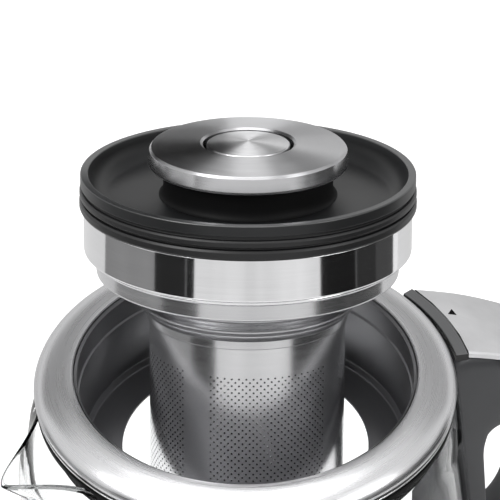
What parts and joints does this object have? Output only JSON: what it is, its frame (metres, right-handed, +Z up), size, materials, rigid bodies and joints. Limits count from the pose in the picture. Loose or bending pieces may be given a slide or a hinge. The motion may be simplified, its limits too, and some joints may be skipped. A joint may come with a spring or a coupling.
{
  "type": "automatic tea maker",
  "caption": "Cordless glass jug with a steel collar on a powered base, and a lidded steel leaf sieve with a push-button knob, lifted half out of the jug.",
  "frame": {"origin": "centre of the flat foot on the table, on the axis of the jug", "axes": "+Z up, along the axis of the jug; +X towards the handle; -X towards the spout; -Y towards the control panel"},
  "size_m": [0.243, 0.234, 0.2848],
  "materials": {
    "base_plastic": "black moulded plastic, fine matte grain",
    "foot_rubber": "black rubber",
    "screw_steel": "zinc-plated steel",
    "plug_plastic": "black engineering plastic",
    "gland_rubber": "black rubber",
    "fascia": "black gloss plastic",
    "window": "smoked clear plastic",
    "board": "green circuit board",
    "key": "spun steel key",
    "under_plastic": "black plastic",
    "band_steel": "brushed stainless steel",
    "plate_steel": "stainless steel heating plate",
    "element": "aluminium-sheathed element",
    "probe_steel": "stainless steel probe",
    "glass": "clear borosilicate glass",
    "gasket": "black silicone",
    "carrier": "black gloss plastic",
    "trim_steel": "bright steel trim",
    "collar_steel": "satin stainless steel, brushed round the ring",
    "liner_steel": "polished stainless steel",
    "handle_plastic": "dark grey soft-touch plastic",
    "bracket": "glass-filled plastic",
    "strip_plastic": "black gloss plastic",
    "handle_metal": "satin silver plate with a bright bevelled edge",
    "mark_paint": "black inlay",
    "ring_steel": "polished stainless steel",
    "sieve_steel": "polished perforated stainless steel",
    "seal": "black silicone",
    "lid_plastic": "black fine-grained plastic",
    "neck_plastic": "black plastic",
    "disc_steel": "spun stainless steel, bright bevel",
    "button_steel": "spun stainless steel, slightly domed"
  },
  "bodies": {
    "power_base": {"base_bottom_cover": "base_plastic", "base_top_cover": "base_plastic", "foot_ring": "foot_rubber", "base_screws": "screw_steel", "base_plug": "plug_plastic", "cord_gland": "gland_rubber", "control_fascia": "fascia", "display_window": "window", "control_board": "board"},
    "key_1": {"key_1": "key"},
    "key_2": {"key_2": "key"},
    "key_3": {"key_3": "key"},
    "key_4": {"key_4": "key"},
    "key_start": {"key_start": "key"},
    "jug": {"jug_underside": "under_plastic", "jug_foot_band": "band_steel", "jug_socket": "plug_plastic", "heating_plate": "plate_steel", "heating_element": "element", "temperature_probe": "probe_steel", "glass_jug": "glass", "neck_gasket": "gasket", "collar_carrier": "carrier", "carrier_trim": "trim_steel", "jug_collar": "collar_steel", "collar_liner": "liner_steel", "handle_shell": "handle_plastic", "handle_inner": "bracket", "handle_strip": "strip_plastic", "handle_plate": "handle_metal", "handle_mark": "mark_paint", "handle_screws": "screw_steel"},
    "basket": {"basket_rings": "ring_steel", "basket_sieve": "sieve_steel"},
    "lid": {"lid_seal": "seal", "lid_dish": "lid_plastic", "knob_neck": "neck_plastic", "knob_disc": "disc_steel", "knob_screws": "screw_steel"},
    "button": {"knob_button": "button_steel"}
  },
  "joints": [
    {"name": "jug_lift", "type": "slide", "parent": "power_base", "child": "jug", "axis": [0, 0, 1], "range_m": [0, 0.06]},
    {"name": "basket_lift", "type": "slide", "parent": "jug", "child": "basket", "axis": [0, 0, 1], "range_m": [-0.01, 0.078]},
    {"name": "lid_lift", "type": "slide", "parent": "basket", "child": "lid", "axis": [0.1445, 0.2788, 0.9494], "range_m": [0, 0.04]},
    {"name": "button_press", "type": "slide", "parent": "lid", "child": "button", "axis": [-0.1445, -0.2788, -0.9494], "range_m": [0, 0.0025], "stiffness_N_per_m": 600, "springref_m": -0.0015},
    {"name": "key_1_press", "type": "slide", "parent": "power_base", "child": "key_1", "axis": [0, 0.2957, -0.9553], "range_m": [0, 0.0012], "stiffness_N_per_m": 1200, "springref_m": -0.0006},
    {"name": "key_2_press", "type": "slide", "parent": "power_base", "child": "key_2", "axis": [0, 0.2957, -0.9553], "range_m": [0, 0.0012], "stiffness_N_per_m": 1200, "springref_m": -0.0006},
    {"name": "key_3_press", "type": "slide", "parent": "power_base", "child": "key_3", "axis": [0, 0.2957, -0.9553], "range_m": [0, 0.0012], "stiffness_N_per_m": 1200, "springref_m": -0.0006},
    {"name": "key_4_press", "type": "slide", "parent": "power_base", "child": "key_4", "axis": [0, 0.2957, -0.9553], "range_m": [0, 0.0012], "stiffness_N_per_m": 1200, "springref_m": -0.0006},
    {"name": "key_start_press", "type": "slide", "parent": "power_base", "child": "key_start", "axis": [0, 0.2957, -0.9553], "range_m": [0, 0.0012], "stiffness_N_per_m": 1200, "springref_m": -0.0006}
  ]
}
